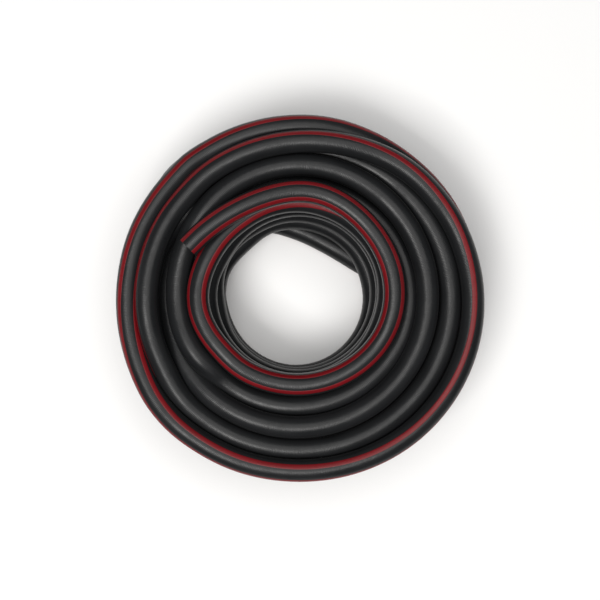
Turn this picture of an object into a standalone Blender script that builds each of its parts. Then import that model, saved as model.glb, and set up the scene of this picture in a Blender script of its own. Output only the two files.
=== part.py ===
"""A half-inch garden hose wound in a loose coil that lies flat, in metres, +Z up.

The hose is one laminated tube: an inner liner, a braid, and a cover with two red
stripes let into it. The packed turns are one turned ring. The lap that lies on top
of them, its cut end and the bottom end that crosses the middle are swept along
their own routes. Angles run clockwise from +Y, seen from above. The origin is on
the floor, under the middle of the coil's box.
"""
import math

import bmesh
import bpy
from mathutils import Vector

# Hose section
HOSE_RADIUS = 0.0088
BORE_RADIUS = 0.00625
LINER_WALL = 0.0010
BRAID_WALL = 0.00035
LAYER_GAP = 0.00015
STRIPE_ANGLES = (-45.0, 45.0)  # from the top of the hose; positive is the side away from the coil's axis
STRIPE_SPAN = 26.0
STRIPE_DEPTH = 0.00035
POCKET_SIDE_GAP = 1.0  # degrees round the hose

# Coil
CLEARANCE = 0.0003
LEVELS = 5
LEVEL_RISE = 0.0166
OUTER_COLUMN = 0.1365
TOP_COLUMNS = ((0.1180, 0.0690), (0.1020, 0.0750), (0.0875, 0.0660))  # radius, height
TOP_OUTER_COLUMN = 0.1345
INNER_RADII = (0.0670, 0.0690, 0.0715, 0.0740)  # from the floor up
INNER_TOP_DROP = 0.0040  # the innermost column's top turn, under the next column's
BASE_COLUMNS = (0.0845, 0.1020, 0.1195)
RING_SEGMENTS = 60
FACET_ANGLE = 30.0

# The lap on top, from the cut end round to where it sinks between the turns
LAP_ROUTE = (  # angle, radius, height
    (295.0, 0.0953, 0.0926),
    (310.0, 0.0891, 0.0901),
    (330.0, 0.0837, 0.0865),
    (345.0, 0.0833, 0.0852),
    (360.0, 0.0845, 0.0850),
    (380.0, 0.0815, 0.0838),
    (405.0, 0.0767, 0.0818),
    (430.0, 0.0740, 0.0808),
    (455.0, 0.0726, 0.0807),
    (480.0, 0.0697, 0.0807),
    (510.0, 0.0667, 0.0807),
    (540.0, 0.0670, 0.0807),
    (565.0, 0.0692, 0.0807),
    (585.0, 0.0730, 0.0795),
    (600.0, 0.0760, 0.0755),
    (615.0, 0.0792, 0.0698),
    (630.0, 0.0818, 0.0655),
    (642.0, 0.0821, 0.0641),
    (649.0, 0.0821, 0.0640),
)
END_SECTION_LENGTH = 0.080
NOTCH_START = 219.0
NOTCH_END = 289.25
NOTCH_FLOOR = 0.0548
NOTCH_RADIUS = 0.0916
NOTCH_STEPS = 14

# The bottom end, from under the turns on the left, across the middle
TAIL_ROUTE = (
    (-0.1014, 0.0178),
    (-0.0880, 0.0435),
    (-0.0650, 0.0611),
    (-0.0370, 0.0673),
    (-0.0154, 0.0643),
    (0.0080, 0.0549),
    (0.0262, 0.0452),
    (0.0559, 0.0269),
    (0.0730, 0.0159),
    (0.0875, 0.0050),
)

CHANNEL_REACH = 0.001  # the channel's opening, past the underside of the bottom end
CHANNEL_STEPS = 12

ROUTE_STEP = 0.014
END_STEP = 0.008
FINE_STEP = 0.002
CURVE_STEPS = 24  # between two given points of a route
SQUARE_RUN = 0.002
SECTION_SIDES = 24
TUBE_BEVEL = 4
SHARP_ANGLE = 40.0


def clear_scene():
    for item in list(bpy.data.objects):
        bpy.data.objects.remove(item, do_unlink=True)


def make_material(name, colour, roughness, metallic=0.0):
    material = bpy.data.materials.new(name)
    material.use_nodes = True
    shader = material.node_tree.nodes["Principled BSDF"]
    shader.inputs["Base Color"].default_value = (*colour, 1.0)
    shader.inputs["Roughness"].default_value = roughness
    shader.inputs["Metallic"].default_value = metallic
    material.diffuse_color = (*colour, 1.0)
    return material


def link(item, material=None):
    bpy.context.scene.collection.objects.link(item)
    if material:
        item.data.materials.append(material)
    return item


def at(angle, radius, height):
    """A point by its clockwise angle from +Y in degrees, its radius and its height."""
    turn = math.radians(angle)
    return Vector((radius * math.sin(turn), radius * math.cos(turn), height))


def smooth(points, step):
    """Points about every step along a Catmull-Rom curve through the given ones."""
    ends = [2 * points[0] - points[1], *points, 2 * points[-1] - points[-2]]
    fine = []
    for before, start, stop, after in zip(ends, ends[1:], ends[2:], ends[3:]):
        for k in range(CURVE_STEPS):
            t = k / CURVE_STEPS
            fine.append(
                0.5
                * (
                    2 * start
                    + (stop - before) * t
                    + (2 * before - 5 * start + 4 * stop - after) * t**2
                    + (3 * start - before - 3 * stop + after) * t**3
                )
            )
    fine.append(points[-1])
    return resample(fine, step)


def point_along(points, along, distance):
    k = 0
    while k < len(points) - 2 and along[k + 1] < distance:
        k += 1
    share = (distance - along[k]) / (along[k + 1] - along[k])
    return points[k].lerp(points[k + 1], share)


def resample(points, step, start=0.0, stop=None):
    """Points about every step along a route, between two distances or to its end."""
    along = [0.0]
    for here, there in zip(points, points[1:]):
        along.append(along[-1] + (there - here).length)
    if stop is None:
        stop = along[-1]
    count = max(2, round((stop - start) / step) + 1)
    return [
        point_along(points, along, start + (stop - start) * k / (count - 1))
        for k in range(count)
    ]


def directions(points):
    found = []
    for k in range(len(points)):
        before = points[max(k - 1, 0)]
        after = points[min(k + 1, len(points) - 1)]
        found.append((after - before).normalized())
    return found


def square_ends(route, first, last):
    """Adds a short run at each end, so that the tube's end faces are square to its route."""
    route.insert(1, route[0] + first * SQUARE_RUN)
    route.insert(-1, route[-1] - last * SQUARE_RUN)


def circle(radius, sides=SECTION_SIDES):
    """A closed outline as (degrees from the top of the hose, distance from its centre)."""
    return [(360.0 * k / sides, radius) for k in range(sides)]


def sweep(name, route, outline, material, bore=None):
    """One closed solid with the outline along a route, open through the bore if one is given.

    The outline's zero degrees is up, and positive degrees lean away from the coil's axis.
    """
    loops = [outline] if bore is None else [outline, bore]
    mesh = bmesh.new()
    rings = []
    for place, forward in zip(route, directions(route)):
        outward = forward.cross(Vector((0, 0, -1))).normalized()
        upward = forward.cross(outward).normalized()
        if upward.z < 0:
            upward.negate()
        row = []
        for loop in loops:
            ring = []
            for angle, distance in loop:
                lean = math.radians(angle)
                offset = outward * math.sin(lean) + upward * math.cos(lean)
                ring.append(mesh.verts.new(place + offset * distance))
            row.append(ring)
        rings.append(row)
    for row, following in zip(rings, rings[1:]):
        for ring, opposite in zip(row, following):
            for k in range(len(ring)):
                n = (k + 1) % len(ring)
                mesh.faces.new((ring[k], ring[n], opposite[n], opposite[k]))
    for row in (rings[0], rings[-1]):
        if bore is None:
            mesh.faces.new(row[0])
        else:
            outer, inner = row
            for k in range(len(outer)):
                n = (k + 1) % len(outer)
                mesh.faces.new((outer[k], outer[n], inner[n], inner[k]))
    return finish_mesh(name, mesh, material)


def finish_mesh(name, mesh, material):
    bmesh.ops.recalc_face_normals(mesh, faces=mesh.faces)
    data = bpy.data.meshes.new(name)
    mesh.to_mesh(data)
    mesh.free()
    data.shade_smooth()
    data.set_sharp_from_angle(angle=math.radians(SHARP_ANGLE))
    return link(bpy.data.objects.new(name, data), material)


def turned_ring(name, outline, material):
    """A solid of revolution about +Z of an outline of (radius, height) points."""
    mesh = bmesh.new()
    rings = []
    for k in range(RING_SEGMENTS):
        angle = 360.0 * k / RING_SEGMENTS
        rings.append([mesh.verts.new(at(angle, radius, height)) for radius, height in outline])
    for k, ring in enumerate(rings):
        following = rings[(k + 1) % RING_SEGMENTS]
        for j in range(len(outline)):
            n = (j + 1) % len(outline)
            mesh.faces.new((ring[j], ring[n], following[n], following[j]))
    return finish_mesh(name, mesh, material)


def bump(radius, height, first, last):
    """The outer facets of one turn's section, tangent to it, between two directions in degrees.

    Zero degrees points away from the axis and 90 points up.
    """
    reach = HOSE_RADIUS / math.cos(math.radians(FACET_ANGLE / 2))
    count = round((last - first) / FACET_ANGLE)
    points = []
    for k in range(count + 1):
        lean = math.radians(first + k * FACET_ANGLE)
        points.append((radius + reach * math.cos(lean), height + reach * math.sin(lean)))
    return points


def coil_outline():
    """The outline of the packed turns' section, from the bottom inner turn anticlockwise."""
    levels = [HOSE_RADIUS + k * LEVEL_RISE for k in range(LEVELS)]
    inner_rise = (TOP_COLUMNS[-1][1] - INNER_TOP_DROP - HOSE_RADIUS) / (len(INNER_RADII) - 1)
    inner = [(r, HOSE_RADIUS + k * inner_rise) for k, r in enumerate(INNER_RADII)]
    points = bump(*inner[0], -135, -45)
    for radius in BASE_COLUMNS:
        points += bump(radius, HOSE_RADIUS, -135, -45)
    points += bump(OUTER_COLUMN, levels[0], -135, 45)
    for height in levels[1:-1]:
        points += bump(OUTER_COLUMN, height, -45, 45)
    points += bump(TOP_OUTER_COLUMN, levels[-1], -45, 135)
    for radius, height in TOP_COLUMNS:
        points += bump(radius, height, 45, 135)
    points += bump(*inner[-1], 45, 225)
    for radius, height in reversed(inner[1:-1]):
        points += bump(radius, height, 135, 225)
    points += bump(*inner[0], 135, 195)
    return points


def cut(target, cutter):
    cutter.display_type = "WIRE"
    cutter.hide_render = True
    modifier = target.modifiers.new("cut_" + cutter.name, "BOOLEAN")
    modifier.operation = "DIFFERENCE"
    modifier.solver = "EXACT"
    modifier.object = cutter


def notch_cutter():
    """The room that the top lap sinks into: a sector over the inner column."""
    inside = INNER_RADII[0] - 2 * HOSE_RADIUS
    top = LAP_ROUTE[0][2] + 2 * HOSE_RADIUS
    corners = (
        (inside, NOTCH_FLOOR),
        (NOTCH_RADIUS, NOTCH_FLOOR),
        (NOTCH_RADIUS, top),
        (inside, top),
    )
    mesh = bmesh.new()
    rings = []
    for k in range(NOTCH_STEPS + 1):
        angle = NOTCH_START + (NOTCH_END - NOTCH_START) * k / NOTCH_STEPS
        rings.append([mesh.verts.new(at(angle, radius, height)) for radius, height in corners])
    for ring, following in zip(rings, rings[1:]):
        for j in range(len(corners)):
            n = (j + 1) % len(corners)
            mesh.faces.new((ring[j], ring[n], following[n], following[j]))
    mesh.faces.new(rings[0])
    mesh.faces.new(rings[-1])
    return finish_mesh("notch_cutter", mesh, None)


def arch():
    """The outline of the bottom end's channel: a round top on straight sides, open below."""
    wide = HOSE_RADIUS + CLEARANCE
    deep = HOSE_RADIUS + CHANNEL_REACH
    facet = 180.0 / CHANNEL_STEPS
    round_top = wide / math.cos(math.radians(facet / 2))
    points = [(-90.0 + facet * k, round_top) for k in range(CHANNEL_STEPS + 1)]
    lean = math.degrees(math.atan2(wide, -deep))
    points.append((lean, math.hypot(wide, deep)))
    points.append((-lean, math.hypot(wide, deep)))
    return points


def plain_tube(name, route, material):
    """A closed round tube on a poly curve."""
    curve = bpy.data.curves.new(name, "CURVE")
    curve.dimensions = "3D"
    curve.bevel_depth = HOSE_RADIUS
    curve.bevel_resolution = TUBE_BEVEL
    curve.use_fill_caps = True
    spline = curve.splines.new("POLY")
    spline.points.add(len(route) - 1)
    for point, place in zip(spline.points, route):
        point.co = (*place, 1.0)
    return link(bpy.data.objects.new(name, curve), material)


def plain_arc(first, last):
    """The round outside's points from one direction up to another, in degrees."""
    angles = [360.0 * k / SECTION_SIDES - 180.0 for k in range(SECTION_SIDES)]
    return [(angle, HOSE_RADIUS) for angle in angles if first <= angle < last]


def cover_outline():
    """The cover's outside, with a pocket for each stripe."""
    half = STRIPE_SPAN / 2 + POCKET_SIDE_GAP
    floor = HOSE_RADIUS - STRIPE_DEPTH - LAYER_GAP
    points = []
    done = -180.0
    for middle in STRIPE_ANGLES:
        points += plain_arc(done, middle - half)
        done = middle + half
        points += [
            (middle - half, HOSE_RADIUS),
            (middle - half, floor),
            (middle, floor),
            (done, floor),
            (done, HOSE_RADIUS),
        ]
    return points + plain_arc(done, 180.0)


def stripe_outline(middle):
    half = STRIPE_SPAN / 2
    low = HOSE_RADIUS - STRIPE_DEPTH
    outside = [(middle + half * k, HOSE_RADIUS) for k in (-1, 0, 1)]
    return outside + [(middle + half * k, low) for k in (1, 0, -1)]


def main():
    clear_scene()
    black = make_material("cover_black", (0.030, 0.032, 0.035), 0.42)
    red = make_material("stripe_red", (0.330, 0.022, 0.028), 0.42)
    white = make_material("braid_white", (0.600, 0.600, 0.580), 0.85)
    dark = make_material("liner_black", (0.020, 0.020, 0.021), 0.50)

    coil = turned_ring("coil_body", coil_outline(), black)

    lap = smooth([at(*place) for place in LAP_ROUTE], FINE_STEP)
    end_route = resample(lap, END_STEP, stop=END_SECTION_LENGTH)
    lap_route = resample(lap, ROUTE_STEP, start=END_SECTION_LENGTH + CLEARANCE)
    square_ends(lap_route, directions(end_route)[-1], directions(lap)[-1])
    plain_tube("top_lap", lap_route, black)

    liner_outside = BORE_RADIUS + LINER_WALL
    braid_inside = liner_outside + LAYER_GAP
    braid_outside = braid_inside + BRAID_WALL
    sweep("end_liner", end_route, circle(liner_outside), dark, circle(BORE_RADIUS))
    sweep("end_braid", end_route, circle(braid_outside), white, circle(braid_inside))
    cover_inside = [(angle, braid_outside + LAYER_GAP) for angle, _ in cover_outline()]
    sweep("end_cover", end_route, cover_outline(), black, cover_inside)
    for name, middle in zip(("end_stripe_inner", "end_stripe_outer"), STRIPE_ANGLES):
        sweep(name, end_route, stripe_outline(middle), red)

    tail = smooth([Vector((x, y, HOSE_RADIUS)) for x, y in TAIL_ROUTE], ROUTE_STEP)
    plain_tube("tail", tail, black)
    before = tail[0] - directions(tail)[0] * CLEARANCE
    beyond = tail[-1] + directions(tail)[-1] * HOSE_RADIUS
    channel = sweep("tail_channel_cutter", [before, *tail[1:], beyond], arch(), None)
    cut(coil, notch_cutter())
    cut(coil, channel)


main()
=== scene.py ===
"""Looks of the coiled garden hose: one hose of about 14.4 m, settled into its coil.

The centreline is drawn from the free end on top to the free end underneath, turns
that touch are pushed a hose's width apart, and the hose is swept along the result.
Angles run clockwise from +Y as seen from above, and grow along the hose.
"""

import math

import bpy
import numpy as np
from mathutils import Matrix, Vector


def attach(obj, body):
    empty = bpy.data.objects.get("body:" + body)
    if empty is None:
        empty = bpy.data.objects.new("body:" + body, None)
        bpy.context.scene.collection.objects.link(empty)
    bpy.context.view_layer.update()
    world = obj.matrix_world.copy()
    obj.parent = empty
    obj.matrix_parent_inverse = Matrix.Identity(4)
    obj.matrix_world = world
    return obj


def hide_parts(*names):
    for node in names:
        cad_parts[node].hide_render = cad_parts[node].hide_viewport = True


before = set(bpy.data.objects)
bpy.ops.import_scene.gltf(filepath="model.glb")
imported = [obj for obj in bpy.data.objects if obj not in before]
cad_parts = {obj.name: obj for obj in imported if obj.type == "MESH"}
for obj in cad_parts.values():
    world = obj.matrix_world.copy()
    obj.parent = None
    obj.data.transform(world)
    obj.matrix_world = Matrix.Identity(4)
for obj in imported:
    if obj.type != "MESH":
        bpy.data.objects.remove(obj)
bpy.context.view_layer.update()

# ---------------------------------------------------------------- the hose, metres
HOSE_RADIUS = 0.0088
HOSE_DIAMETER = 2 * HOSE_RADIUS
BORE_RADIUS = 0.00625
LINER_RADIUS = 0.00725
BRAID_RADIUS = 0.00760
LINER_GAP = 0.00005
BRAID_GAP = 0.0001
END_SECTION_LENGTH = 0.080
CUT_EDGE = 0.00025  # the rounding of a cut face's rim
CUT_EDGE_SHARE = 0.3
STRIPE_ANGLES = (-45.0, 45.0)
STRIPE_SPAN = 26.0
STRIPE_DEPTH = 0.00035
STRIPE_PROUD = 0.00005
STRIPE_TOP = (-0.92, -0.6, -0.2, 0.2, 0.6, 0.92)  # shares of its half width
STRIPE_FOOT = (0.9, 0.0, -0.9)
POINT_SPACING = 0.006
HOSE_SIDES = 36
SHARP_ANGLE = 50.0

# ---------------------------------------------------------------- the visible laps
# Stations along the hose: angle, radius from the coil's axis, height.
FIRST_LAP = [
    (295, 0.0953, 0.0945), (310, 0.0891, 0.0942), (330, 0.0837, 0.0940),
    (345, 0.0833, 0.0936), (360, 0.0845, 0.0932), (375, 0.0830, 0.0930),
    (390, 0.0791, 0.0930), (410, 0.0760, 0.0930), (450, 0.0729, 0.0925),
    (480, 0.0698, 0.0872), (510, 0.0667, 0.0826), (540, 0.0670, 0.0804),
    (560, 0.0682, 0.0802), (580, 0.0717, 0.0804), (600, 0.0760, 0.0812),
    (620, 0.0805, 0.0820), (635, 0.0822, 0.0815),
]
MIDDLE_LAPS = [
    (2835, 0.0900, 0.0650), (2880, 0.0915, 0.0680), (2925, 0.0880, 0.0690),
    (2970, 0.0862, 0.0700), (3015, 0.0836, 0.0705), (3060, 0.0844, 0.0710),
    (3105, 0.0900, 0.0710), (3135, 0.0958, 0.0718), (3160, 0.0985, 0.0735),
    (3180, 0.1002, 0.0765), (3195, 0.1028, 0.0785), (3240, 0.1058, 0.0795),
    (3285, 0.1023, 0.0795), (3330, 0.0992, 0.0795), (3375, 0.0984, 0.0795),
    (3420, 0.0996, 0.0785), (3450, 0.1018, 0.0760), (3475, 0.1044, 0.0700),
    (3495, 0.1064, 0.0635), (3510, 0.1078, 0.0580), (3525, 0.1087, 0.0550),
]
OUTER_LAPS = [
    (4320, 0.1185, 0.0630), (4335, 0.1183, 0.0650), (4365, 0.1177, 0.0690),
    (4410, 0.1180, 0.0710), (4455, 0.1177, 0.0710), (4500, 0.1177, 0.0710),
    (4545, 0.1200, 0.0720), (4590, 0.1203, 0.0740), (4650, 0.1230, 0.0780),
    (4680, 0.1242, 0.0790), (4725, 0.1302, 0.0790), (4770, 0.1340, 0.0790),
    (4815, 0.1340, 0.0790), (4860, 0.1326, 0.0790), (4905, 0.1349, 0.0785),
    (4940, 0.1350, 0.0765), (4965, 0.1350, 0.0735), (4990, 0.1350, 0.0700),
    (5015, 0.1352, 0.0675), (5040, 0.1352, 0.0660), (5070, 0.1355, 0.0640),
    (5100, 0.1360, 0.0615),
]

# ---------------------------------------------------------------- the covered laps
# Keys along the hose: angle, column (1 innermost to 5 outermost), level (1 lowest).
FIRST_COVERED = [
    (655, 1, 5.05), (690, 1, 5), (720, 1, 4.97), (792, 1, 4.9), (825, 1, 4.55),
    (860, 1, 4.15), (890, 1, 4), (1050, 1, 4), (1152, 1, 3.93), (1185, 1, 3.55),
    (1220, 1, 3.15), (1250, 1, 3), (1410, 1, 3), (1512, 1, 2.97), (1545, 1, 2.55),
    (1580, 1, 2.15), (1610, 1, 2), (1872, 1, 2), (1905, 1, 1.5), (1940, 1, 1.1),
    (1970, 1, 1), (2060, 1, 1), (2085, 1.2, 1.4), (2110, 1.7, 1.9), (2135, 2, 2),
    (2175, 2, 1.6), (2210, 2, 1.5), (2420, 2, 1.5), (2485, 2, 2.7), (2740, 2, 2.8),
    (2815, 2, 3.85),
]
SECOND_COVERED = [
    (3550, 3.15, 3.7), (3585, 3, 3.95), (3860, 3, 4), (3890, 3.4, 3.8),
    (3920, 4, 3.5), (4275, 4, 3.5), (4300, 4, 3.9),
]
THIRD_COVERED = [
    (5130, 5, 4), (5270, 5, 4), (5355, 5, 3.4), (5460, 5, 3), (5630, 5, 3),
    (5715, 5, 2.4), (5820, 5, 2), (5990, 5, 2), (6075, 5, 1.4), (6180, 5, 1),
    (6485, 5, 1), (6530, 4, 1.5), (6810, 4, 1.5), (6860, 4, 2.5), (7175, 4, 2.5),
    (7220, 3, 3), (7520, 3, 3), (7560, 3, 2), (7880, 3, 2), (7920, 3, 1),
    (8200, 3, 1),
]
# The innermost column's laps widen upward: angle along the hose, lap counted from below.
INNER_LAPS = [
    (655, 4.1), (720, 4), (1010, 4), (1080, 3), (1370, 3), (1440, 2), (1730, 2),
    (1800, 1), (2060, 1), (2110, 1.5),
]
COVERED_STEP = 12.0
LEVELS = (1, 2, 3, 4, 5)
INNER_COLUMN = (0.0661, 0.0689, 0.0712, 0.0732, 0.0766)
INNER_SHIFT_Y = (0.0015, 0.0037, 0.0052, 0.0055, 0.0087)
INNER_SHIFT_X = (-0.0046, -0.0033, -0.0020, -0.0031, -0.0045)
OUTER_COLUMN = 0.1362
OUTER_SHIFT = 0.0012
LEVEL_PITCH = 0.0176
COLUMNS = 5
# Below this level the third column lies further out and the fifth further in.
PACKED_BELOW = 4.2
THIRD_OUTWARD = 0.0017
FIFTH_INWARD = 0.0016

# The tail on the floor, across the hole: x, y.
TAIL_ROUTE = [
    (-0.1014, 0.0178), (-0.0880, 0.0435), (-0.0650, 0.0611), (-0.0370, 0.0673),
    (-0.0154, 0.0643), (0.0080, 0.0549), (0.0262, 0.0452), (0.0559, 0.0269),
    (0.0680, 0.0190),
]
LAST_ANGLE = 8200
TAIL_SWEEP = 150  # the tail's share of the angle keys
TAIL_STEPS = 200
ANGLE_STEP = 1.0
ROUTE_BLUR = 12

# ---------------------------------------------------------------- the hose's twist
# Keys along the hose: angle, turn of the pair of stripes from the top outward.
TWIST = [
    (295, -2), (590, -3), (630, 11), (655, 15), (675, 9), (690, 4), (750, 38),
    (900, 60), (1015, 75), (1375, 130), (1735, 150), (2100, 175), (2835, 180),
    (4335, 178), (4500, 165), (4545, 140), (4590, 115), (4640, 90), (4680, 88),
    (4725, 65), (4770, 45), (4815, 32), (4860, 17), (4905, 20), (4950, -8),
    (4975, -18), (5000, -19), (5040, -2), (5100, 25), (5460, 78), (5820, 115),
    (6180, 150), (6540, 185), (8200, 185), (8360, 180),
]
TWIST_BLUR = 60

# ---------------------------------------------------------------- settling
# Keys along the hose: angle, share of a turn's shift that is taken back each round.
HOLD_SIDE = [
    (295, 0.2), (640, 0.2), (660, 0.15), (2050, 0.15), (2100, 0.03), (2800, 0.02),
    (2840, 0.2), (3060, 0.2), (3080, 0.5), (3520, 0.5), (3535, 0.02), (4320, 0.02),
    (4340, 0.2), (5100, 0.2), (5140, 0.3), (6450, 0.3), (6500, 0.04), (8180, 0.04),
    (8230, 0.15),
]
HOLD_UP = [
    (295, 0.05), (640, 0.05), (700, 0), (2830, 0), (2860, 0.03), (3430, 0.03),
    (3480, 0.2), (3520, 0.2), (3535, 0), (4320, 0), (4340, 0.03), (5100, 0.03),
    (5140, 0),
]
ROUNDS = 400
PUSHES = 3  # in each round
PUSH_FACTOR = 1.5
CONTACT_GAP = 0.0002
FALL = 0.00004  # in each round
SHIFT_BLUR = 2
NEIGHBOUR_RUN = 0.06  # points nearer than this along the hose don't push each other
SEARCH_EVERY = 20
SEARCH_MARGIN = 0.004
SEARCH_BLOCK = 400
TINY = 1e-6

# ---------------------------------------------------------------- surfaces
PVC_SPECULAR = 0.22
NOISE_LOW = 0.3
NOISE_HIGH = 0.7
PATCH_SCALE = (90, 90, 30)
PATCH_GLOSS = 0.05
GRAIN_SCALE = (700, 700, 260)
GRAIN_SMOOTHER = 0.03
GRAIN_ROUGHER = 0.04
GRAIN_HEIGHT = 0.00002
RIPPLES_PER_METRE = 850
RIPPLE_DRIFT = 2.2
RIPPLE_DRIFT_SCALE = (160, 160, 160)
RIPPLE_HEIGHT = 0.00004
RIPPLE_FADE = (0.35, 0.65, 0.25, 1)  # patch value from and to, ripple share from and to
SWELL_SCALE = (30, 30, 95)
SWELL_HEIGHT = 0.00025
WEAVE_SCALE = (1400, 1400, 900)
WEAVE_HEIGHT = 0.0002
YARN_DARK = (0.42, 0.41, 0.38)
YARN_LIGHT = (0.68, 0.67, 0.63)
YARN_ROUGHNESS = 0.85
COVER_DARK = (0.0078, 0.0082, 0.0088)
COVER_LIGHT = (0.0110, 0.0115, 0.0123)
COVER_ROUGHNESS = 0.33
STRIPE_DARK = (0.108, 0.003, 0.005)
STRIPE_LIGHT = (0.145, 0.004, 0.007)
STRIPE_ROUGHNESS = 0.40
LINER_DARK = (0.010, 0.010, 0.010)
LINER_LIGHT = (0.016, 0.016, 0.016)
LINER_ROUGHNESS = 0.30

# ---------------------------------------------------------------- floor, light and camera
FLOOR_RADIUS = 1.3
FLOOR_SIDES = 128
FLOOR_WHITE = 0.74
FLOOR_ROUGHNESS = 0.9
LIGHT_COLOUR = (1.0, 0.985, 0.965)
KEY_PLACE = (-0.55, -0.75, 2.00)
KEY_SIZE = (1.0, 0.7)
KEY_WATTS = 36
FILL_PLACE = (0.15, 0.2, 2.4)
FILL_SIZE = (2.4, 2.4)
FILL_WATTS = 52
SKY_COLOUR = (0.88, 0.95, 1, 1)
SKY_STRENGTH = 0.14
BACKDROP_COLOUR = (1, 1, 1, 1)
BACKDROP_STRENGTH = 0.95
CAMERA_PLACE = (-0.0008, 0.0, 0.984)
CAMERA_CLIP = 0.01
FIELD_OF_VIEW = math.radians(28.8)


def blend_keys(keys, at, column):
    table = np.array(keys, float)
    return np.interp(at, table[:, 0], table[:, column])


def column_radius(column, level, degrees):
    """The radius of a covered lap; it varies round the coil, as the hole isn't a true circle."""
    turn = math.radians(degrees)
    lap = blend_keys(INNER_LAPS, degrees, 1) if column < 2 else level
    inner = np.interp(lap, LEVELS, INNER_COLUMN)
    inner += np.interp(lap, LEVELS, INNER_SHIFT_Y) * math.cos(turn)
    inner += np.interp(lap, LEVELS, INNER_SHIFT_X) * math.sin(turn)
    outer = OUTER_COLUMN + OUTER_SHIFT * (math.cos(turn) - math.sin(turn))
    radius = inner + (outer - inner) * (column - 1) / (COLUMNS - 1)
    if level < PACKED_BELOW:
        radius += THIRD_OUTWARD * max(0, 1 - abs(column - 3)) - FIFTH_INWARD * max(0, column - 4)
    return radius


def covered(keys):
    """Stations of angle, radius and height along a stretch of covered laps."""
    stations = []
    for angle in np.arange(keys[0][0], keys[-1][0] + 1, COVERED_STEP):
        column = blend_keys(keys, angle, 1)
        level = blend_keys(keys, angle, 2)
        height = HOSE_RADIUS + LEVEL_PITCH * (level - 1)
        stations.append((angle, column_radius(column, level, angle), height))
    return stations


def hermite(x, y, at):
    """A smooth curve through the points (x, y), read at the given places."""
    slope = np.gradient(y, x)
    k = np.clip(np.searchsorted(x, at, side="right") - 1, 0, len(x) - 2)
    h = x[k + 1] - x[k]
    t = (at - x[k]) / h
    start = (2 * t**3 - 3 * t**2 + 1) * y[k] + (t**3 - 2 * t**2 + t) * h * slope[k]
    end = (3 * t**2 - 2 * t**3) * y[k + 1] + (t**3 - t**2) * h * slope[k + 1]
    return start + end


def lengths_along(points):
    steps = np.linalg.norm(np.diff(points, axis=0), axis=1)
    return np.concatenate([[0.0], np.cumsum(steps)])


def smooth(values, times):
    for _ in range(times):
        blurred = values.copy()
        blurred[1:-1] = 0.25 * values[:-2] + 0.5 * values[1:-1] + 0.25 * values[2:]
        blurred[0] = 0.5 * values[0] + 0.5 * values[1]
        blurred[-1] = 0.5 * values[-1] + 0.5 * values[-2]
        values = blurred
    return values


def drawn_centreline():
    """The hose's route as designed: evenly spaced points and the angle at each."""
    stations = np.array(
        FIRST_LAP + covered(FIRST_COVERED) + MIDDLE_LAPS + covered(SECOND_COVERED)
        + OUTER_LAPS + covered(THIRD_COVERED), float)
    angle = np.arange(stations[0, 0], LAST_ANGLE, ANGLE_STEP)
    radius = hermite(stations[:, 0], stations[:, 1], angle)
    height = hermite(stations[:, 0], stations[:, 2], angle)
    turn = np.radians(angle)
    coil = np.stack([radius * np.sin(turn), radius * np.cos(turn), height], 1)
    tail = np.array([(x, y, HOSE_RADIUS) for x, y in TAIL_ROUTE])
    knots = np.vstack([coil[-1:], tail])
    along = lengths_along(knots)
    fine = np.linspace(0, along[-1], TAIL_STEPS)[1:]
    tail = np.stack([hermite(along, knots[:, axis], fine) for axis in range(3)], 1)
    route = np.vstack([coil, tail])
    angle = np.concatenate([angle, LAST_ANGLE + TAIL_SWEEP * fine / fine[-1]])
    along = lengths_along(route)
    at = np.linspace(0, along[-1], int(round(along[-1] / POINT_SPACING)) + 1)
    points = np.stack([np.interp(at, along, route[:, axis]) for axis in range(3)], 1)
    start, end = points[0].copy(), points[-1].copy()
    points = smooth(points, ROUTE_BLUR)
    points[0], points[-1] = start, end
    return points, np.interp(at, along, angle)


def near_pairs(points, reach, skip):
    """Pairs of points nearer than reach, and more than skip points apart along the hose."""
    first, second = [], []
    for k in range(0, len(points), SEARCH_BLOCK):
        block = points[k:k + SEARCH_BLOCK, None, :]
        gap = ((block - points[None, :, :]) ** 2).sum(-1)
        i, j = np.nonzero(gap < reach * reach)
        i += k
        apart = j - i > skip
        first.append(i[apart])
        second.append(j[apart])
    return np.concatenate(first), np.concatenate(second)


def push_apart(points, first, second, contact):
    """Move each touching pair of points away from each other, none of them below the floor."""
    apart = points[second] - points[first]
    distance = np.maximum(np.linalg.norm(apart, axis=1), TINY)
    touching = distance < contact
    i, j = first[touching], second[touching]
    push = 0.5 * (contact / distance[touching] - 1)[:, None] * apart[touching]
    total = np.zeros_like(points)
    count = np.zeros(len(points))
    np.add.at(total, i, -push)
    np.add.at(total, j, push)
    np.add.at(count, i, 1)
    np.add.at(count, j, 1)
    points += PUSH_FACTOR * total / np.maximum(count, 1)[:, None]
    points[:, 2] = np.maximum(points[:, 2], HOSE_RADIUS)


def settle(design, hold_side, hold_up):
    """Push touching turns apart and let them sink, each held near its design."""
    contact = HOSE_DIAMETER + CONTACT_GAP
    skip = int(NEIGHBOUR_RUN / POINT_SPACING)
    points = design.copy()
    for turn in range(ROUNDS):
        if turn % SEARCH_EVERY == 0:
            first, second = near_pairs(points, contact + SEARCH_MARGIN, skip)
        points[:, 2] -= FALL
        for _ in range(PUSHES):
            push_apart(points, first, second, contact)
        moved = points - design
        moved[:, :2] *= (1 - hold_side)[:, None]
        moved[:, 2] *= 1 - hold_up
        points = design + smooth(moved, SHIFT_BLUR)
        points[:, 2] = np.maximum(points[:, 2], HOSE_RADIUS)
    return points


design, angles = drawn_centreline()
hose = settle(design, blend_keys(HOLD_SIDE, angles, 1), blend_keys(HOLD_UP, angles, 1))


# ---------------------------------------------------------------- swept meshes
def unit(vectors):
    return vectors / np.linalg.norm(vectors, axis=1)[:, None]


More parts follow.
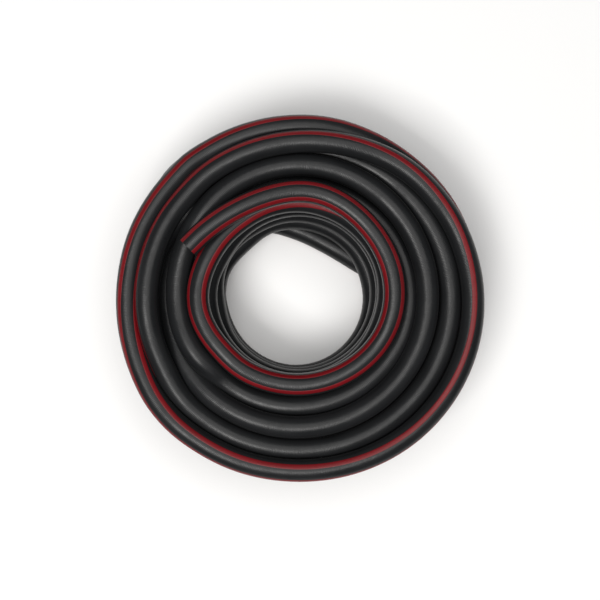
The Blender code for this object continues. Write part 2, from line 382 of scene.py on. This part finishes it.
along = lengths_along(hose)
tangent = unit(np.gradient(hose, axis=0))
up = unit(np.array([0.0, 0.0, 1.0]) - tangent * tangent[:, 2:3])
outward = unit(np.cross(up, tangent))
if (outward[0] * hose[0]).sum() < 0:
    outward = -outward
twist = np.radians(smooth(blend_keys(TWIST, angles, 1), TWIST_BLUR))


def ring_points(rows, radius, turn):
    """Points around the hose at the given rows, for radii and angles around it."""
    turn = turn + twist[rows][:, None]
    side = up[rows][:, None, :] * np.cos(turn)[..., None]
    side = side + outward[rows][:, None, :] * np.sin(turn)[..., None]
    return hose[rows][:, None, :] + side * radius[..., None]


def mesh_piece(name, points, faces, straight, material):
    """A piece that carries each point's place on the straight hose, for its material."""
    mesh = bpy.data.meshes.new(name)
    mesh.from_pydata(points.tolist(), [], faces)
    attribute = mesh.attributes.new("straight", "FLOAT_VECTOR", "POINT")
    attribute.data.foreach_set("vector", straight.astype(np.float32).ravel())
    mesh.shade_smooth()
    mesh.set_sharp_from_angle(angle=math.radians(SHARP_ANGLE))
    mesh.materials.append(material)
    piece = bpy.data.objects.new(name, mesh)
    bpy.context.scene.collection.objects.link(piece)
    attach(piece, "root")
    return piece


def loft(name, rows, section, shifts, material, ring_loop=False):
    """Sweep sections along the hose: section[k] is the (angle, radius) list at rows[k].

    Each shift moves its section along the hose. A ring loop joins the last section to
    the first; otherwise both are closed with a face.
    """
    rows = np.asarray(rows)
    section = np.asarray(section, float)
    count, sides = section.shape[:2]
    turn, radius = section[..., 0], section[..., 1]
    shift = np.asarray(shifts, float)
    points = ring_points(rows, radius, turn) + (tangent[rows] * shift[:, None])[:, None, :]
    distance = np.broadcast_to((along[rows] + shift)[:, None], radius.shape)
    straight = np.stack([radius * np.cos(turn), radius * np.sin(turn), distance], -1)
    faces = []
    for k in range(count if ring_loop else count - 1):
        here, there = k * sides, (k + 1) % count * sides
        for side in range(sides):
            turned = (side + 1) % sides
            faces.append((here + side, there + side, there + turned, here + turned))
    if not ring_loop:
        faces.append(tuple(range(sides)))
        faces.append(tuple(reversed(range((count - 1) * sides, count * sides))))
    return mesh_piece(name, points.reshape(-1, 3), faces, straight.reshape(-1, 3), material)


def circle(radius, sides):
    return [(2 * math.pi * k / sides, radius) for k in range(sides)]


# ---------------------------------------------------------------- materials
class Nodes:
    """Short calls for building one material's node tree."""

    # sockets of the mix node's colour form
    MIX_LOW = 6
    MIX_HIGH = 7
    MIX_COLOUR = 2

    def __init__(self, name):
        self.material = bpy.data.materials.new(name)
        self.material.use_nodes = True
        self.tree = self.material.node_tree
        self.shader = self.tree.nodes["Principled BSDF"]

    def add(self, kind, **settings):
        node = self.tree.nodes.new(kind)
        for key, value in settings.items():
            setattr(node, key, value)
        return node

    def link(self, output, socket):
        self.tree.links.new(output, socket)

    def math(self, operation, first, second=None):
        node = self.add("ShaderNodeMath", operation=operation)
        for socket, value in zip(node.inputs, (first, second)):
            if value is None:
                continue
            if isinstance(value, (int, float)):
                socket.default_value = value
            else:
                self.link(value, socket)
        return node.outputs[0]

    def straight(self, scale):
        """The hose's own straight coordinates: across, across, along, in metres."""
        source = self.add("ShaderNodeAttribute", attribute_name="straight")
        mapping = self.add("ShaderNodeMapping")
        mapping.inputs["Scale"].default_value = scale
        self.link(source.outputs["Vector"], mapping.inputs["Vector"])
        return mapping.outputs["Vector"]

    def along(self):
        source = self.add("ShaderNodeAttribute", attribute_name="straight")
        split = self.add("ShaderNodeSeparateXYZ")
        self.link(source.outputs["Vector"], split.inputs[0])
        return split.outputs["Z"]

    def noise(self, vector, scale=1.0, detail=3.0, roughness=0.5):
        node = self.add("ShaderNodeTexNoise")
        node.inputs["Scale"].default_value = scale
        node.inputs["Detail"].default_value = detail
        node.inputs["Roughness"].default_value = roughness
        self.link(vector, node.inputs["Vector"])
        return node.outputs["Fac"]

    def ramp(self, value, low, high, to_low, to_high):
        node = self.add("ShaderNodeMapRange")
        for socket, number in zip(node.inputs[1:5], (low, high, to_low, to_high)):
            socket.default_value = number
        self.link(value, node.inputs[0])
        return node.outputs[0]

    def blend(self, value, low_colour, high_colour):
        node = self.add("ShaderNodeMix", data_type="RGBA")
        node.inputs[self.MIX_LOW].default_value = (*low_colour, 1)
        node.inputs[self.MIX_HIGH].default_value = (*high_colour, 1)
        self.link(value, node.inputs[0])
        return node.outputs[self.MIX_COLOUR]

    def bump(self, height, distance, strength=1.0, before=None):
        node = self.add("ShaderNodeBump")
        node.inputs["Distance"].default_value = distance
        node.inputs["Strength"].default_value = strength
        self.link(height, node.inputs["Height"])
        if before is not None:
            self.link(before, node.inputs["Normal"])
        return node.outputs["Normal"]


def soft_pvc(name, dark, light, roughness):
    """Extruded soft PVC: faint cross ripples where the braid shows through, and fine grain."""
    nodes = Nodes(name)
    shader = nodes.shader
    shader.inputs["Specular IOR Level"].default_value = PVC_SPECULAR
    patches = nodes.noise(nodes.straight(PATCH_SCALE), detail=4)
    colour = nodes.blend(nodes.ramp(patches, NOISE_LOW, NOISE_HIGH, 0, 1), dark, light)
    nodes.link(colour, shader.inputs["Base Color"])
    fine = nodes.noise(nodes.straight(GRAIN_SCALE), detail=4, roughness=0.6)
    patchy = nodes.ramp(patches, NOISE_LOW, NOISE_HIGH, -PATCH_GLOSS, PATCH_GLOSS)
    grainy = nodes.ramp(
        fine, NOISE_LOW, NOISE_HIGH, roughness - GRAIN_SMOOTHER, roughness + GRAIN_ROUGHER)
    nodes.link(nodes.math("ADD", patchy, grainy), shader.inputs["Roughness"])
    drift = nodes.noise(nodes.straight(RIPPLE_DRIFT_SCALE), detail=2)
    phase = nodes.math("ADD", nodes.math("MULTIPLY", nodes.along(), RIPPLES_PER_METRE),
                       nodes.math("MULTIPLY", drift, RIPPLE_DRIFT))
    ripples = nodes.math("SINE", nodes.math("MULTIPLY", phase, 2 * math.pi))
    ripples = nodes.math("MULTIPLY", ripples, nodes.ramp(patches, *RIPPLE_FADE))
    swell = nodes.noise(nodes.straight(SWELL_SCALE), detail=2)
    normal = nodes.bump(swell, SWELL_HEIGHT)
    normal = nodes.bump(ripples, RIPPLE_HEIGHT, before=normal)
    normal = nodes.bump(fine, GRAIN_HEIGHT, before=normal)
    nodes.link(normal, shader.inputs["Normal"])
    return nodes.material


def braided_yarn(name):
    """White reinforcing yarn, seen only at the cut faces."""
    nodes = Nodes(name)
    shader = nodes.shader
    weave = nodes.add("ShaderNodeTexVoronoi")
    weave.inputs["Scale"].default_value = 1.0
    nodes.link(nodes.straight(WEAVE_SCALE), weave.inputs["Vector"])
    strands = weave.outputs["Distance"]
    nodes.link(nodes.blend(strands, YARN_DARK, YARN_LIGHT), shader.inputs["Base Color"])
    shader.inputs["Roughness"].default_value = YARN_ROUGHNESS
    nodes.link(nodes.bump(strands, WEAVE_HEIGHT), shader.inputs["Normal"])
    return nodes.material


COVER_PVC = soft_pvc("cover_pvc", COVER_DARK, COVER_LIGHT, COVER_ROUGHNESS)
STRIPE_PVC = soft_pvc("stripe_pvc", STRIPE_DARK, STRIPE_LIGHT, STRIPE_ROUGHNESS)
LINER_PVC = soft_pvc("liner_pvc", LINER_DARK, LINER_LIGHT, LINER_ROUGHNESS)
BRAID_YARN = braided_yarn("braid_yarn")

# ---------------------------------------------------------------- the hose's pieces
last = len(hose) - 1
end_rows = int(round(END_SECTION_LENGTH / POINT_SPACING))


def hose_cover():
    """The whole outside of the hose, with a bore let into it at both cut ends."""
    bore = BRAID_RADIUS + BRAID_GAP
    slope = CUT_EDGE_SHARE * CUT_EDGE
    rim = ((HOSE_RADIUS - CUT_EDGE, 0.0), (HOSE_RADIUS - slope, slope), (HOSE_RADIUS, CUT_EDGE))
    rings = [(row, bore, 0.0) for row in range(end_rows, -1, -1)]
    rings += [(0, radius, inward) for radius, inward in rim]
    rings += [(row, HOSE_RADIUS, 0.0) for row in range(1, last)]
    rings += [(last, radius, -inward) for radius, inward in reversed(rim)]
    rings += [(row, bore, 0.0) for row in range(last, last - end_rows - 1, -1)]
    rows, radii, shifts = zip(*rings)
    sections = [circle(radius, HOSE_SIDES) for radius in radii]
    return loft("hose_cover", rows, sections, shifts, COVER_PVC)


def stripe(name, middle):
    """One red stripe, let into the cover all along the hose and just proud of it."""
    half = math.radians(STRIPE_SPAN / 2)
    middle = math.radians(middle)
    top = HOSE_RADIUS + STRIPE_PROUD
    base = HOSE_RADIUS - STRIPE_DEPTH
    outline = [(middle - half, HOSE_RADIUS - STRIPE_PROUD)]
    outline += [(middle + half * share, top) for share in STRIPE_TOP]
    outline += [(middle + half, HOSE_RADIUS - STRIPE_PROUD)]
    outline += [(middle + half * share, base) for share in STRIPE_FOOT]
    rows = range(last + 1)
    return loft(name, rows, [outline] * len(rows), [0.0] * len(rows), STRIPE_PVC)


def end_sleeve(name, end, inner, outer, material):
    """One of the layers that line the bore near a cut end."""
    rows = list(range(0, end_rows)) if end == "top" else list(range(last, last - end_rows, -1))
    rings = [(row, outer) for row in rows] + [(row, inner) for row in reversed(rows)]
    rows, radii = zip(*rings)
    sections = [circle(radius, HOSE_SIDES) for radius in radii]
    return loft(name, rows, sections, [0.0] * len(rows), material, ring_loop=True)


cover = hose_cover()
stripe_inner = stripe("stripe_inner", STRIPE_ANGLES[0])
stripe_outer = stripe("stripe_outer", STRIPE_ANGLES[1])
braid_bore = LINER_RADIUS + LINER_GAP
braids = [end_sleeve("braid_" + end, end, braid_bore, BRAID_RADIUS, BRAID_YARN)
          for end in ("top", "floor")]
liners = [end_sleeve("liner_" + end, end, BORE_RADIUS, LINER_RADIUS, LINER_PVC)
          for end in ("top", "floor")]

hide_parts("coil_body", "top_lap", "tail", "end_cover")
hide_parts("end_stripe_inner")
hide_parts("end_stripe_outer")
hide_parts("end_braid")
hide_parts("end_liner")

# ---------------------------------------------------------------- floor, light, camera
floor_mesh = bpy.data.meshes.new("floor")
floor_turns = [2 * math.pi * k / FLOOR_SIDES for k in range(FLOOR_SIDES)]
floor_mesh.from_pydata(
    [(FLOOR_RADIUS * math.cos(turn), FLOOR_RADIUS * math.sin(turn), 0) for turn in floor_turns],
    [], [tuple(range(FLOOR_SIDES))])
floor = bpy.data.objects.new("floor", floor_mesh)
bpy.context.scene.collection.objects.link(floor)
paper = Nodes("white_paper")
paper.shader.inputs["Base Color"].default_value = (FLOOR_WHITE, FLOOR_WHITE, FLOOR_WHITE, 1)
paper.shader.inputs["Roughness"].default_value = FLOOR_ROUGHNESS
floor_mesh.materials.append(paper.material)


def softbox(name, place, size, watts):
    """A rectangular light that points at the origin."""
    light = bpy.data.lights.new(name, "AREA")
    light.shape = "RECTANGLE"
    light.size, light.size_y = size
    light.energy = watts
    light.color = LIGHT_COLOUR
    lamp = bpy.data.objects.new(name, light)
    bpy.context.scene.collection.objects.link(lamp)
    lamp.location = place
    lamp.rotation_euler = Vector(place).to_track_quat("Z", "Y").to_euler()


def studio_world():
    """A cool sky that lights the scene, and a near-white backdrop that the camera sees."""
    world = bpy.data.worlds.new("studio")
    world.use_nodes = True
    tree = world.node_tree
    sky = tree.nodes["Background"]
    sky.inputs["Color"].default_value = SKY_COLOUR
    sky.inputs["Strength"].default_value = SKY_STRENGTH
    backdrop = tree.nodes.new("ShaderNodeBackground")
    backdrop.inputs["Color"].default_value = BACKDROP_COLOUR
    backdrop.inputs["Strength"].default_value = BACKDROP_STRENGTH
    seen = tree.nodes.new("ShaderNodeLightPath")
    either = tree.nodes.new("ShaderNodeMixShader")
    tree.links.new(seen.outputs["Is Camera Ray"], either.inputs[0])
    tree.links.new(sky.outputs[0], either.inputs[1])
    tree.links.new(backdrop.outputs[0], either.inputs[2])
    tree.links.new(either.outputs[0], tree.nodes["World Output"].inputs[0])
    return world


softbox("key_softbox", KEY_PLACE, KEY_SIZE, KEY_WATTS)
softbox("fill_softbox", FILL_PLACE, FILL_SIZE, FILL_WATTS)
bpy.context.scene.world = studio_world()

camera_data = bpy.data.cameras.new("camera")
camera_data.angle = FIELD_OF_VIEW
camera_data.clip_start = CAMERA_CLIP
camera = bpy.data.objects.new("camera", camera_data)
camera.location = CAMERA_PLACE
bpy.context.scene.collection.objects.link(camera)
bpy.context.scene.camera = camera
bpy.context.scene.view_settings.view_transform = "Standard"
